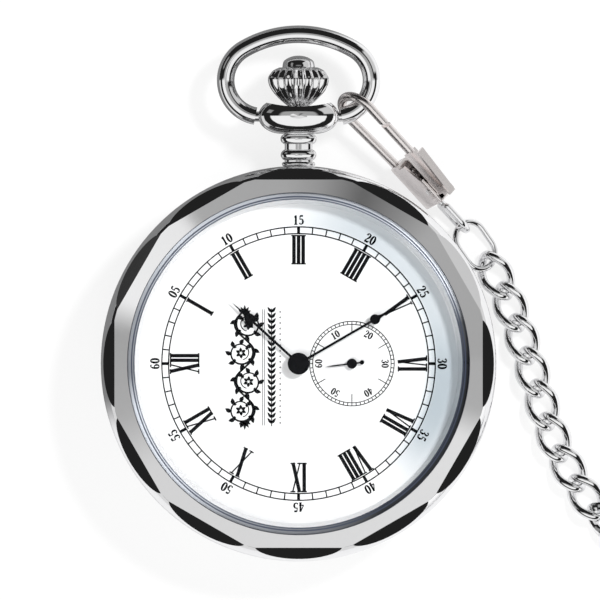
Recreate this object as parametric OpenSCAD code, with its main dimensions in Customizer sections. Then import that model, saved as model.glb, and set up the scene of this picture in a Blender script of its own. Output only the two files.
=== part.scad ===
// Pocket watch with a twelve-sided faceted bezel, a wire bow, a swivel clasp and a curb chain.
// It lies on its back: +Z is out of the dial, +Y points to the crown, z = 0 is the table.

/* [Case] */
// Diameter of the case over the round rim
case_d = 47; // [44:0.5:50]
// Height of the flat front ring above the table
front_z = 11.9; // [11.5:0.1:12.5]
// Height of the stem axis, which the pendant and the bow share
stem_z = 5.9; // [5.7:0.1:6.1]
// Number of facets cut round the front ring
facets = 12; // [8:1:16]
// Distance from the centre to each flat of the front ring
facet_apothem = 21.85; // [21.5:0.05:22.1]
// Slope of each facet below the plane of the front ring
facet_tilt = 31.6; // [25:0.5:38]
// Radius of the opening in the front ring
window_r = 20.36; // [20.2:0.01:20.4]

/* [Crown and bow] */
// Widest diameter of the crown
crown_d = 7.28; // [6.5:0.1:8]
// Number of flutes round the crown
flutes = 22; // [16:1:26]
// Diameter of the bow's wire
bow_wire = 2.1; // [1.6:0.1:2.4]
// Distance of the bow's hinge line from the middle of the case
bow_y = 29.4; // [29.2:0.1:29.6]

/* [Movement] */
// Radius of the main plate
plate_r = 12.6; // [12.4:0.1:12.6]
// Distance from the centre to the small seconds arbor
seconds_x = 6.34; // [6:0.02:6.6]
// Tooth module of the going train
train_module = 0.11; // [0.1:0.005:0.115]
// Tooth module of the seconds wheel and the pinion that drives it
step_module = 0.12; // [0.12:0.005:0.125]
// Tooth module of the rotor and the fifth wheel, small enough to clear the seconds arbor
rotor_module = 0.1; // [0.09:0.005:0.1]
// Tooth module of the motion work under the dial
motion_module = 0.1; // [0.09:0.005:0.1]
// Radial clearance of a running fit
fit = 0.03; // [0.02:0.01:0.05]

/* [Clasp] */
// Width of the clasp across the hook
clasp_w = 6.0; // [5.6:0.1:6.4]
// Thickness of the hook's bar
hook_bar = 1.1; // [1:0.05:1.3]

/* [Chain] */
// Length of a curb link over all
link_l = 6.6; // [6.4:0.1:7]
// Width of a curb link before it is twisted
link_w = 4.3; // [4.2:0.1:4.6]
// Diameter of the link's wire
link_wire = 1.0; // [0.8:0.05:1]
// Twist of each half of a link
link_twist = -55; // [-58:1:-50]
// Distance from link to link along the chain
pitch = 4.1; // [4:0.05:4.2]
// Links in each of the three chain runs that lie beyond the last single link
run_links = 12; // [8:1:14]

/* [Hidden] */
$fn = 96;

case_r = case_d / 2;
steel = "silver";
// Levels of the stack, from the back to the glass
back_lip_z = 2.6;
middle_z = [1.6, 8.8];
dial_z = 8.8;
dial_t = 0.4;
glass_z = 10.6;
// Levels of the movement
bridge_z = 4.2;
gap_z = [4.8, 7.0];
plate_z = [7.0, 7.9];
// Fine backing of booleans
eps = 0.01;

// Points of one ring of a swept tube, from its centre and two directions across it
function ring_points(centre, across, up, r, sides) =
    [for (k = [0 : sides - 1]) let (a = 360 * (k + 0.5) / sides) centre + r * (cos(a) * across + sin(a) * up)];

// Faces of a tube of rings with flat ends, and of one that closes on itself
function open_tube(last, sides) = concat(
    [[for (k = [0 : sides - 1]) k]],
    [for (i = [0 : last - 1], k = [0 : sides - 1]) let (n = (k + 1) % sides)
        each [[i * sides + k, (i + 1) * sides + k, i * sides + n],
              [i * sides + n, (i + 1) * sides + k, (i + 1) * sides + n]]],
    [[for (k = [sides - 1 : -1 : 0]) last * sides + k]]);
function closed_tube(rings, sides) = [for (i = [0 : rings - 1], k = [0 : sides - 1])
    let (a = i * sides + k,
         b = i * sides + (k + 1) % sides,
         c = (a + sides) % (rings * sides),
         d = (b + sides) % (rings * sides))
    each [[a, c, b], [b, c, d]]];

// A round tube along points that lie in one level plane
module flat_sweep(path, r) {
    sides = 16;
    last = len(path) - 1;
    rings = [for (i = [0 : last]) let (
        ahead = path[min(i + 1, last)] - path[max(i - 1, 0)],
        out = cross([0, 0, 1], ahead / norm(ahead)))
        each ring_points(path[i], out, [0, 0, 1], r, sides)];
    polyhedron(rings, open_tube(last, sides));
}

// ---- case ----

module bezel() {
    rim_round = 2.43;
    seat_z = 10.35;
    color(steel) difference() {
        rotate_extrude() difference() {
            union() {
                translate([20.55, 7.9]) square([0.6, 2]);
                intersection() {
                    translate([19.5, middle_z[1] + 0.02]) square([case_r - 19.5, front_z - middle_z[1]]);
                    union() {
                        translate([case_r - rim_round, front_z - 2]) circle(rim_round);
                        translate([0, middle_z[1]]) square([case_r, front_z - 2 - middle_z[1]]);
                        square([case_r - rim_round, front_z]);
                    }
                }
            }
            translate([0, seat_z + 0.25]) square([window_r, 3]);
            translate([0, 7]) square([20.55, seat_z - 7]);
            translate([0, front_z]) square([30, 3]);
        }
        for (k = [0 : facets - 1])
            rotate([0, 0, k * 360 / facets]) translate([facet_apothem, -10, front_z])
                rotate([0, facet_tilt, 0]) translate([-1, 0, 0]) cube([8, 20, 4]);
    }
}

module case_middle() {
    barrel = 9;
    color(steel) difference() {
        rotate_extrude() intersection() {
            translate([20.6, middle_z[0]]) square([case_r - 20.6, middle_z[1] - middle_z[0]]);
            translate([case_r - 0.5 - barrel, (middle_z[0] + middle_z[1]) / 2]) circle(barrel);
        }
        translate([0, 0, 7.88]) cylinder(r = 21.17, h = 2);
        translate([0, 0, -eps]) cylinder(r = 21.45, h = back_lip_z + 0.3);
        translate([0, 10, stem_z]) rotate([-90, 0, 0]) cylinder(r = 1.62, h = 20);
    }
}

module case_back() {
    rest_r = 15;
    dome = 120;
    color(steel) difference() {
        union() {
            intersection() {
                cylinder(r = 21.4, h = 1.58);
                translate([0, 0, dome - 0.9]) sphere(dome, $fn = 180);
            }
            translate([0, 0, 1.5]) cylinder(r = 21.4, h = back_lip_z - 1.5);
            translate([0, 0, 0.6]) cylinder(r1 = 20.6, r2 = 22.3, h = 0.95);
        }
        translate([0, 0, 1.3]) cylinder(r = 20.5, h = 3);
        translate([0, 0, 0.8]) cylinder(r = rest_r, h = 3);
        translate([0, 0, -3]) cylinder(r = 40, h = 3);
    }
}

module ring(inner, outer, low, high) {
    translate([0, 0, low]) difference() {
        cylinder(r = outer, h = high - low);
        translate([0, 0, -1]) cylinder(r = inner, h = high - low + 2);
    }
}

module back_gasket() {
    color("dimgray") ring(20.55, 21.35, back_lip_z, back_lip_z + 0.25);
}

module crystal_gasket() {
    color("white") ring(19.55, 20.33, glass_z - 0.0, glass_z + 0.2);
}

module crystal() {
    dome = 330;
    top_z = 12.3;
    glass_r = 20.32;
    bevel_r = 19.5;
    steps = 10;
    function dome_z(r) = top_z - dome + sqrt(dome * dome - r * r);
    color("lightcyan", 0.3) rotate_extrude($fn = 180)
        polygon(concat(
            [[0, 11], [19.2, 11], [19.2, glass_z + 0.2], [glass_r, glass_z + 0.2], [glass_r, 11.35]],
            [for (i = [steps : -1 : 0]) let (r = bevel_r * i / steps) [r, dome_z(r)]]));
}

module dial_ring() {
    color("gainsboro") rotate_extrude()
        polygon([[19.0, 9.2], [20.5, 9.2], [20.5, 10.33], [19.5, 10.33]]);
}

module movement_ring() {
    color("whitesmoke") difference() {
        ring(plate_r + 0.1, 20.5, back_lip_z + 0.3, dial_z);
        translate([0, 10, stem_z]) rotate([-90, 0, 0]) cylinder(r = 0.8, h = 20);
    }
}

// ---- pendant, crown and bow: bodies of revolution on the stem axis ----

// Lays a shape drawn round +Z along +Y on the stem axis, with its base at y
module on_stem(y) {
    translate([0, y, stem_z]) rotate([-90, 0, 0]) children();
}

module bead(y, r, h) {
    on_stem(y) rotate_extrude() {
        square([r - h / 2, h]);
        translate([r - h / 2, h / 2]) circle(d = h, $fn = 48);
    }
}

module pendant() {
    bowl_y = 27.35;
    bowl_r = 4.8;
    saddle_r = 15;
    color(steel) difference() {
        union() {
            on_stem(20.9) cylinder(r = 1.6, h = 4);
            on_stem(case_r) cylinder(r = 1.65, h = bowl_y - case_r + 0.3);
            bead(23.42, 1.98, 0.6);
            bead(24.14, 2.13, 1.35);
            bead(26.1, 2.15, 1.25);
            on_stem(bowl_y) rotate_extrude() intersection() {
                square([bowl_r, 3.85]);
                translate([2.0, 2.1]) scale([1, 0.75]) circle(2.8);
            }
            on_stem(bowl_y) cylinder(r = 2.2, h = 3.7);
        }
        translate([0, 30.56 + saddle_r, -1]) cylinder(r = saddle_r, h = 20, $fn = 180);
        on_stem(19) cylinder(r = 0.75, h = 14);
        on_stem(28.6) cylinder(r = 1.05, h = 3);
        for (side = [-1, 1])
            translate([side * 3.0, bow_y, stem_z]) rotate([0, side * 90, 0]) cylinder(r = 0.65, h = 3);
    }
}

module crown_gasket() {
    color("black") on_stem(28.65) ring(0.6 + fit, 1.02, 0, 0.7);
}

module crown() {
    base_y = 30.66;
    widest = crown_d / 2;
    sides = flutes * 4;
    cap_r = 1.93;
    // Distance from the base, radius and depth of the flutes: up the flank, over the shoulder, round the cap
    outline = [[0, 1.3, 0.1], [0.3, 1.68, 0.16], [0.75, 2.2, 0.22], [1.5, 2.92, 0.3], [2.27, 3.43, 0.34],
               [2.8, 3.6, 0.34], [3.18, widest, 0.34], [3.5, 3.58, 0.34], [3.8, 3.38, 0.3], [4.24, 3.0, 0.22],
               [4.6, 2.3, 0.1], [4.62, cap_r, 0], [5.3, 1.78, 0], [5.68, 1.3, 0], [5.99, 0.5, 0]];
    rings = [for (row = outline, k = [0 : sides - 1])
        let (a = 360 * k / sides,
             r = row[1] - row[2] * (1 - cos(a * flutes)) / 2)
        [r * cos(a), r * sin(a), row[0]]];
    color(steel) difference() {
        on_stem(base_y) polyhedron(rings, open_tube(len(outline) - 1, sides));
        on_stem(base_y - 1) cylinder(r = 0.61, h = 3);
    }
}

module winding_stem() {
    stem_r = 0.6;
    square_w = 0.8;
    color("lightsteelblue") {
        on_stem(10.65) cylinder(r = stem_r, h = 32.6 - 10.65);
        on_stem(10.1) cylinder(r = 0.35, h = 0.6);
        on_stem(9.85) cylinder(r = stem_r, h = 0.3);
        on_stem(7.8) translate([-square_w / 2, -square_w / 2, 0]) cube([square_w, square_w, 2.1]);
    }
}

// The bow is a four-centred oval of round wire that stops short at the bowl, with a pin at each end
bow_side_r = 4.3;
bow_side_x = 4.38;
bow_mid_y = 33.7;
bow_rise = 5.5;
bow_top_r = (pow(bow_side_x, 2) + pow(bow_rise, 2) - pow(bow_side_r, 2)) / (2 * (bow_rise - bow_side_r));
bow_blend = atan2(bow_top_r - bow_rise, bow_side_x);

// Middle of the bow's wire: up the right side, over the top and down the left
bow_end = -80;
function on_arc(centre, r, a) = [centre[0] + r * cos(a), centre[1] + r * sin(a), stem_z];
function spread(from, to, steps) = [for (i = [0 : steps]) from + (to - from) * i / steps];
bow_path = concat(
    [for (a = spread(bow_end, bow_blend - 4, 14)) on_arc([bow_side_x, bow_mid_y], bow_side_r, a)],
    [for (a = spread(bow_blend, 180 - bow_blend, 10)) on_arc([0, bow_mid_y + bow_rise - bow_top_r], bow_top_r, a)],
    [for (a = spread(184 - bow_blend, 180 - bow_end, 14)) on_arc([-bow_side_x, bow_mid_y], bow_side_r, a)]);

module bow() {
    color(steel) {
        flat_sweep(bow_path, bow_wire / 2);
        for (side = [-1, 1])
            translate([side * 3.6, bow_y, stem_z]) rotate([0, side * 90, 0]) cylinder(r = 0.6, h = 1.9);
    }
}

// ---- dial and hands ----

module dial() {
    color("white") difference() {
        translate([0, 0, dial_z]) cylinder(r = 20.3, h = dial_t);
        translate([0, 0, dial_z - 1]) cylinder(r = 0.9, h = 3);
        translate([seconds_x, 0, dial_z - 1]) cylinder(r = 0.3, h = 3);
        translate([seconds_x, 0, dial_z + 0.25]) cylinder(r = 5.1, h = 1);
    }
}

// A hand's outline along +X: a thin stem that swells into a spade and ends in a point
module spade_outline(stem_w, spade_at, spade_r, tip_at) {
    translate([0, -stem_w / 2]) square([spade_at, stem_w]);
    translate([spade_at, 0]) circle(spade_r);
    polygon([[spade_at - 0.2, -spade_r * 0.9], [spade_at + spade_r * 1.4, -0.16], [tip_at, 0],
             [spade_at + spade_r * 1.4, 0.16], [spade_at - 0.2, spade_r * 0.9]]);
}

module hour_hand() {
    color("black") difference() {
        translate([0, 0, 9.7]) linear_extrude(0.15) union() {
            circle(1.2);
            rotate(137.5) {
                spade_outline(0.3, 7.9, 0.62, 10.9);
                for (side = [-1, 1]) translate([7.4, side * 0.5]) circle(0.4);
            }
        }
        translate([0, 0, 9]) cylinder(r = 0.81, h = 2);
    }
}

module minute_hand() {
    color("black") translate([0, 0, 10.05]) difference() {
        union() {
            linear_extrude(0.15) rotate(30.1) spade_outline(0.28, 10.5, 0.6, 15.45);
            cylinder(r = 1.3, h = 0.4);
        }
        translate([0, 0, -1]) cylinder(r = 0.36, h = 1.25);
    }
}

module seconds_hand() {
    hand_z = 9.35;
    color("black") translate([seconds_x, 0, hand_z]) {
        linear_extrude(0.12) rotate(187) {
            translate([0.3, -0.09]) square([2, 0.18]);
            polygon([[2.2, -0.09], [3.3, 0], [2.2, 0.09]]);
            translate([-1.2, -0.09]) square([0.9, 0.18]);
            translate([-1.2, 0]) circle(0.27);
        }
        difference() {
            cylinder(r = 0.6, h = 0.25);
            translate([0, 0, -1]) cylinder(r = 0.16, h = 1.17);
        }
    }
}

// ---- movement ----

// Places of the arbors, from the pitch radii of the wheels that mesh
function meshing(teeth_a, teeth_b, module_mm) = (teeth_a + teeth_b) * module_mm / 2;
centre_teeth = 64;
third_teeth = 60;
leaves = 8;
centre_to_third = meshing(centre_teeth, leaves, train_module);
third_to_seconds = meshing(third_teeth, leaves, train_module);
third_x = (pow(centre_to_third, 2) - pow(third_to_seconds, 2) + pow(seconds_x, 2)) / (2 * seconds_x);
third_at = [third_x, -sqrt(pow(centre_to_third, 2) - pow(third_x, 2))];
seconds_at = [seconds_x, 0];
seconds_teeth = 30;
fifth_leaves = 6;
fifth_dir = 60;
fifth_at = seconds_at + meshing(seconds_teeth, fifth_leaves, step_module) * [cos(fifth_dir), sin(fifth_dir)];
fifth_teeth = 36;
rotor_leaves = 6;
rotor_dir = 120;
rotor_at = fifth_at + meshing(fifth_teeth, rotor_leaves, rotor_module) * [cos(rotor_dir), sin(rotor_dir)];
cannon_leaves = 10;
minute_teeth = 30;
minute_leaves = 8;
hour_teeth = 32;
minute_at = [-meshing(cannon_leaves, minute_teeth, motion_module), 0];

function bearing(from, to) = atan2(to[1] - from[1], to[0] - from[0]);

// A toothed outline with one tooth centred at angle phase
module toothed(teeth, module_mm, phase) {
    pitch_r = teeth * module_mm / 2;
    step = 360 / teeth;
    root_r = pitch_r - 1.15 * module_mm;
    tip_r = pitch_r + 0.85 * module_mm;
    polygon([for (k = [0 : teeth - 1], corner = [[root_r, -0.27], [tip_r, -0.1], [tip_r, 0.1], [root_r, 0.27]])
        let (angle = phase + (k + corner[1]) * step) corner[0] * [cos(angle), sin(angle)]]);
}

module wheel(at, teeth, module_mm, phase, low, high) {
    translate([at[0], at[1], low]) linear_extrude(high - low) toothed(teeth, module_mm, phase);
}

module arbor(at, r, low, high) {
    translate([at[0], at[1], low]) cylinder(r = r, h = high - low, $fn = 48);
}

module spokes(at, hub_r, rim_r, low, high) {
    arms = 4;
    translate([at[0], at[1], low]) difference() {
        ring(hub_r, rim_r, 0, high - low);
        for (k = [0 : arms - 1])
            rotate([0, 0, k * 360 / arms]) translate([0, -0.2, -1]) cube([rim_r + 1, 0.4, high - low + 2]);
    }
}

// A going-train wheel with its rim crossed out into four arms
module crossed_wheel(at, teeth, module_mm, phase, low, high) {
    difference() {
        wheel(at, teeth, module_mm, phase, low, high);
        spokes(at, teeth * module_mm * 0.16, teeth * module_mm / 2 - 0.55, low - 1, high + 1);
    }
}

module centre_wheel() {
    color("gold") {
        crossed_wheel([0, 0], centre_teeth, train_module, bearing([0, 0], third_at), 6.3, 6.6);
        arbor([0, 0], 0.5, 4.95, 7.75);
        arbor([0, 0], 0.25, bridge_z + 0.1, 4.95);
        arbor([0, 0], 0.5, 7.75, 10.0);
        arbor([0, 0], 0.35, 10.0, 10.2);
        wheel([0, 0], cannon_leaves, motion_module, 180, 7.98, 8.28);
    }
}

module third_wheel() {
    gap = 180 / leaves;
    color("gold") {
        crossed_wheel(third_at, third_teeth, train_module, bearing(third_at, seconds_at), 5.6, 5.85);
        wheel(third_at, leaves, train_module, bearing(third_at, [0, 0]) + gap, 6.2, 6.8);
        arbor(third_at, 0.3, 4.9, 6.2);
        arbor(third_at, 0.15, bridge_z + 0.1, 7.6);
    }
}

module seconds_wheel() {
    gap = 180 / leaves;
    color("gold") {
        wheel(seconds_at, seconds_teeth, step_module, bearing(seconds_at, fifth_at), 5.0, 5.25);
        wheel(seconds_at, leaves, train_module, bearing(seconds_at, third_at) + gap, 5.4, 6.1);
        arbor(seconds_at, 0.2, 4.9, 6.9);
        arbor(seconds_at, 0.15, bridge_z + 0.1, 9.5);
    }
}

module fifth_wheel() {
    gap = 180 / fifth_leaves;
    color("gold") {
        wheel(fifth_at, fifth_teeth, rotor_module, bearing(fifth_at, rotor_at), 6.3, 6.55);
        wheel(fifth_at, fifth_leaves, step_module, bearing(fifth_at, seconds_at) + gap, 4.9, 5.5);
        arbor(fifth_at, 0.22, 5.5, 6.9);
        arbor(fifth_at, 0.12, bridge_z + 0.1, 7.6);
    }
}

module rotor() {
    gap = 180 / rotor_leaves;
    color("dimgray") {
        arbor(rotor_at, 0.85, 5.0, 5.9);
        wheel(rotor_at, rotor_leaves, rotor_module, bearing(rotor_at, fifth_at) + gap, 6.1, 6.75);
        arbor(rotor_at, 0.2, 4.9, 6.9);
        arbor(rotor_at, 0.12, bridge_z + 0.1, 7.6);
    }
}

module minute_wheel() {
    gap = 180 / minute_teeth;
    color("gold") difference() {
        union() {
            wheel(minute_at, minute_teeth, motion_module, gap, 8.0, 8.2);
            wheel(minute_at, minute_leaves, motion_module, 0, 8.2, 8.7);
        }
        arbor(minute_at, 0.2 + fit, 7, 9);
    }
}

module hour_wheel() {
    gap = 180 / hour_teeth;
    color("gold") difference() {
        union() {
            wheel([0, 0], hour_teeth, motion_module, 180 + gap, 8.42, 8.62);
            arbor([0, 0], 0.8, 8.62, 9.85);
        }
        arbor([0, 0], 0.5 + fit, 8, 11);
    }
}

// Pivot places in the plate and the bridge: each is a place and the radius of what turns in it
pivots = [[third_at, 0.15], [seconds_at, 0.15], [fifth_at, 0.12], [rotor_at, 0.12]];
screw_places = [[9.6, -5.0], [0.6, -10.4], [3.4, 10.2]];

module main_plate() {
    color("silver") difference() {
        union() {
            translate([0, 0, plate_z[0]]) cylinder(r = plate_r, h = plate_z[1] - plate_z[0]);
            ring(plate_r - 0.7, plate_r, gap_z[0], dial_z);
            for (place = screw_places) arbor(place, 0.9, gap_z[0] + fit, plate_z[0] + 0.1);
            arbor(minute_at, 0.2, plate_z[1] - 0.1, 8.72);
            for (pivot = pivots) arbor(pivot[0], 0.5, 6.92, plate_z[0] + 0.1);
        }
        arbor([0, 0], 0.5 + fit, 6, 9);
        for (pivot = pivots) arbor(pivot[0], pivot[1] + fit, 6, 9);
        for (place = screw_places) arbor(place, 0.35 + fit, gap_z[0] - 1, plate_z[0] + 0.4);
        on_stem(10) cylinder(r = 0.6 + fit, h = 4);
        translate([-1.15, 7.8, 6.5]) cube([2.3, 2.0, 0.7]);
        translate([lever_at[0], lever_at[1], plate_z[0] - 1]) cylinder(r = 0.3 + fit, h = 1.6);
    }
}

module train_bridge() {
    color("gold") difference() {
        intersection() {
            translate([0, 0, bridge_z]) cylinder(r = plate_r - 0.9, h = gap_z[0] - bridge_z);
            union() {
                translate([-1.6, -12, 0]) cube([16, 24, 8]);
            }
        }
        arbor([0, 0], 0.25 + fit, 3, 9);
        for (pivot = pivots) arbor(pivot[0], pivot[1] + fit, 3, 9);
        for (place = screw_places) arbor(place, 0.35 + fit, 3, 9);
    }
}

module bridge_screws() {
    color("lightsteelblue") for (place = screw_places) difference() {
        union() {
            arbor(place, 0.75, bridge_z - 0.35, bridge_z - fit);
            arbor(place, 0.35, bridge_z - 0.1, plate_z[0]);
        }
        translate([place[0] - 1, place[1] - 0.1, bridge_z - 0.5]) cube([2, 0.2, 0.3]);
    }
}

battery_at = [-6.4, -4.9];

module battery() {
    color("silver") {
        arbor(battery_at, 3.4, 4.9, 6.4);
        arbor(battery_at, 2.7, 6.4, 6.9);
    }
}

module battery_strap() {
    color("goldenrod") {
        translate([battery_at[0], battery_at[1], 4.55]) rotate([0, 0, 35]) {
            translate([-3.9, -0.9, 0]) cube([7.6, 1.8, 0.25]);
        }
    }
}

module circuit_board() {
    color("seagreen") difference() {
        translate([0, 0, 5.0]) intersection() {
            ring(4.6, plate_r - 0.85, 0, 0.4);
            translate([-12, -0.6, -1]) cube([10, 12, 3]);
        }
        translate([lever_at[0] - 1.6, lever_at[1] - 2.2, 4]) cube([6, 6, 3]);
    }
}

module quartz_can() {
    color("silver") translate([-8.2, 1.2, 6.15]) rotate([-90, 0, 0]) {
        cylinder(r = 0.72, h = 4.6);
        for (side = [-1, 1])
            translate([side * 0.3, 0, -0.8]) cylinder(r = 0.1, h = 0.9, $fn = 24);
    }
}

coil_y = 7.3;
coil_x = [2.6, 8.2];
coil_z = 5.9;

module coil() {
    color("sienna") {
        translate([coil_x[0], coil_y, coil_z]) rotate([0, 90, 0]) difference() {
            cylinder(r = 0.95, h = coil_x[1] - coil_x[0]);
            translate([-0.3, -0.45, -1]) cube([0.6, 0.9, 9]);
        }
    }
}

module stator() {
    slab_z = 5.2;
    slab_t = 0.5;
    color("slategray") {
        difference() {
            translate([1.7, rotor_at[1] - 1.45, slab_z]) cube([7.8, 2.9, slab_t]);
            arbor(rotor_at, 1.05, 4, 7);
            arbor(fifth_at, 0.75, 4, 7);
        }
        for (x = [1.7, 8.2])
            translate([x, rotor_at[1] + 1.4, slab_z]) cube([0.8, coil_y + 0.4 - rotor_at[1] - 1.4, slab_t]);
        for (x = [1.7, 8.2])
            translate([x, coil_y - 0.4, slab_z]) cube([0.8, 0.8, coil_z + 0.25 - slab_z]);
        translate([1.8, coil_y - 0.4, coil_z - 0.25]) cube([7.1, 0.8, 0.5]);
    }
}

module sliding_pinion() {
    pinion_y = 8.0;
    socket_w = 0.84;
    color("gold") difference() {
        union() {
            on_stem(pinion_y) linear_extrude(0.5) toothed(14, 0.12, 0);
            on_stem(pinion_y + 0.45) cylinder(r = 0.68, h = 0.6);
            on_stem(pinion_y + 1.0) cylinder(r = 0.9, h = 0.6);
        }
        on_stem(pinion_y - 1) translate([-socket_w / 2, -socket_w / 2, 0]) cube([socket_w, socket_w, 4]);
    }
}

lever_at = [-2.6, 10.9];
lever_arm = 2.64;

module setting_lever() {
    rest_angle = -11;
    color("lightsteelblue") translate([lever_at[0], lever_at[1], 6.56]) {
        rotate([0, 0, rest_angle]) {
            translate([0, -0.25, 0]) cube([lever_arm, 0.5, 0.3]);
            translate([lever_arm, 0, -0.24]) cylinder(r = 0.18, h = 0.5, $fn = 32);
        }
        cylinder(r = 0.55, h = 0.3);
        cylinder(r = 0.3, h = 1.0);
        rotate([0, 0, 200]) translate([0, -0.2, 0]) cube([1.6, 0.4, 0.3]);
    }
}

// ---- clasp: drawn along +X with the gate towards +Y, then laid from the bow down to the table ----

clasp_at = [7.22, 29.9, 5.8];
clasp_heading = -47.5;
clasp_pitch = 10.6;
clasp_roll = 57;
hook_r = (clasp_w - hook_bar) / 2;
gate_pivot = [12.6, 0.9];
channel_x = [7.9, 14.5];
channel_y = [-2.1, 1.5];
channel_z = 0.95;
sheet = 0.3;
bail_r = 1.6;
bail_wire = 0.84;
bail_end_x = 17.65;
bail_roll = 25;

module place_clasp() {
    translate(clasp_at) rotate([0, 0, clasp_heading]) rotate([0, clasp_pitch, 0])
        rotate([clasp_roll, 0, 0]) children();
}

module bar_arc(r, wire, start, sweep) {
    rotate([0, 0, start]) rotate_extrude(angle = sweep) translate([r, 0]) circle(d = wire, $fn = 40);
}

// A round bar between two points of the clasp's own plane, with round ends
module bar(from, to, wire) {
    run = to - from;
    translate(from) rotate([0, 0, atan2(run[1], run[0])]) rotate([0, 90, 0])
        cylinder(d = wire, h = norm(run), $fn = 40);
    translate(from) sphere(d = wire, $fn = 40);
    translate(to) sphere(d = wire, $fn = 40);
}

module clasp_hook() {
    tip_x = 2.5;
    arm_end_y = -1.85;
    // Centre line from the tip round the bow to the end of the fixed arm
    hook_path = concat([[tip_x + 0.6, hook_r, 0]],
                       [for (a = [90 : 15 : 270]) hook_r * [cos(a), sin(a), 0]],
                       [[channel_x[0] + 0.4, arm_end_y, 0]]);
    color(steel) place_clasp() {
        difference() {
            flat_sweep(hook_path, hook_bar / 2);
            translate([tip_x, hook_r, -2]) rotate([0, 0, -25]) translate([0, -3, 0]) cube([4, 6, 4]);
        }
        difference() {
            translate([channel_x[0], channel_y[0], -channel_z])
                cube([channel_x[1] - channel_x[0], channel_y[1] - channel_y[0], 2 * channel_z]);
            translate([channel_x[0] + sheet, channel_y[0] + sheet, -channel_z + sheet])
                cube([channel_x[1] - channel_x[0] - 2 * sheet, 4, 2 * (channel_z - sheet)]);
            translate([channel_x[0] - 1, -0.5, -2]) cube([1.5, 4, 4]);
            translate([channel_x[0] - 1, 0.1, -2]) rotate([0, 0, 14]) cube([4.2, 4, 4]);
            translate([gate_pivot[0], gate_pivot[1], -3]) cylinder(r = 0.4, h = 6);
            translate([channel_x[1] - 1, -0.1, 0]) rotate([0, 90, 0]) cylinder(r = 0.48, h = 3);
        }
    }
}

module clasp_gate() {
    arm_x = 2.9;
    case_x = [7.2, 13.6];
    wall_z = 0.58;
    color("gainsboro") place_clasp() difference() {
        union() {
            difference() {
                translate([arm_x - 0.6, hook_r, 0]) rotate([0, 90, 0])
                    cylinder(d = hook_bar, h = case_x[0] - arm_x + 0.9, $fn = 40);
                translate([arm_x, hook_r, -2]) rotate([0, 0, -25]) translate([-4, -3, 0]) cube([4, 6, 4]);
            }
            translate([case_x[0], 1.75, -wall_z]) cube([case_x[1] - case_x[0], 1.2, 2 * wall_z]);
            translate([gate_pivot[0] - 1.0, 0.35, -wall_z]) cube([1.65, 1.8, 2 * wall_z]);
            translate([13.3, 2.6, -0.5]) rotate([0, 0, 172]) translate([-0.8, -0.9, 0])
                cube([6.6, 0.32, 1.0]);
            translate([12.8, 2.4, -wall_z]) cube([1.1, 1.0, 2 * wall_z]);
        }
        translate([gate_pivot[0], gate_pivot[1], -3]) cylinder(r = 0.4 + fit, h = 6);
    }
}

module gate_pin() {
    color("silver") place_clasp() translate([gate_pivot[0], gate_pivot[1], -channel_z - 0.1])
        cylinder(r = 0.4, h = 2 * channel_z + 0.2, $fn = 48);
}

module gate_spring() {
    turns = 4;
    sides = 6;
    steps = 8;
    coil_r = 0.45;
    wire_r = 0.12;
    lead = 0.75;
    last = turns * steps;
    centres = [for (i = [0 : last]) let (a = 360 * i / steps)
        [8.9 + lead * i / steps, -0.68 + coil_r * cos(a), coil_r * sin(a)]];
    rings = [for (i = [0 : last]) let (a = 360 * i / steps)
        each ring_points(centres[i], [0, cos(a), sin(a)], [-1, 0, 0], wire_r, sides)];
    color("dimgray") place_clasp() polyhedron(rings, open_tube(last, sides));
}

module swivel_bail() {
    yoke_x = 15.3;
    color(steel) place_clasp() translate([0, -0.1, 0]) rotate([bail_roll, 0, 0]) {
        translate([13.45, 0, 0]) rotate([0, 90, 0]) cylinder(r = 0.62, h = 0.35);
        translate([13.5, 0, 0]) rotate([0, 90, 0]) cylinder(r = 0.45, h = 1.6);
        bar([yoke_x, -bail_r, 0], [yoke_x, bail_r, 0], bail_wire);
        bar([yoke_x, bail_r, 0], [bail_end_x, bail_r, 0], bail_wire);
        bar([yoke_x, -bail_r, 0], [bail_end_x, -bail_r, 0], bail_wire);
        translate([bail_end_x, 0, 0]) bar_arc(bail_r, bail_wire, -90, 180);
    }
}

// ---- chain ----

// An oval ring of round wire, long along +X, built from two half rings and two straight bars
module oval(length, width, wire) {
    end_r = (width - wire) / 2;
    straight = (length - width) / 2;
    for (side = [-1, 1]) {
        translate([side * straight, 0, 0]) bar_arc(end_r, wire, side * 90 - 180, 180);
        translate([-straight, side * end_r, 0]) rotate([0, 90, 0]) cylinder(d = wire, h = 2 * straight, $fn = 40);
    }
}

ring_from = [19.36, 16.48, 2.37];
first_link = [23.6, 10.45, 1.25];
ring_l = 6.8;
ring_w = 4.9;
ring_wire = 0.74;
ring_heading = atan2(first_link[1] - ring_from[1], first_link[0] - ring_from[0]);

module oval_ring() {
    ring_pitch = 11;
    ring_roll = -28;
    color(steel) translate(ring_from) rotate([0, 0, ring_heading]) rotate([0, ring_pitch, 0])
        translate([(ring_l - ring_wire) / 2, 0, 0]) rotate([ring_roll, 0, 0]) oval(ring_l, ring_w, ring_wire);
}

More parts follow.
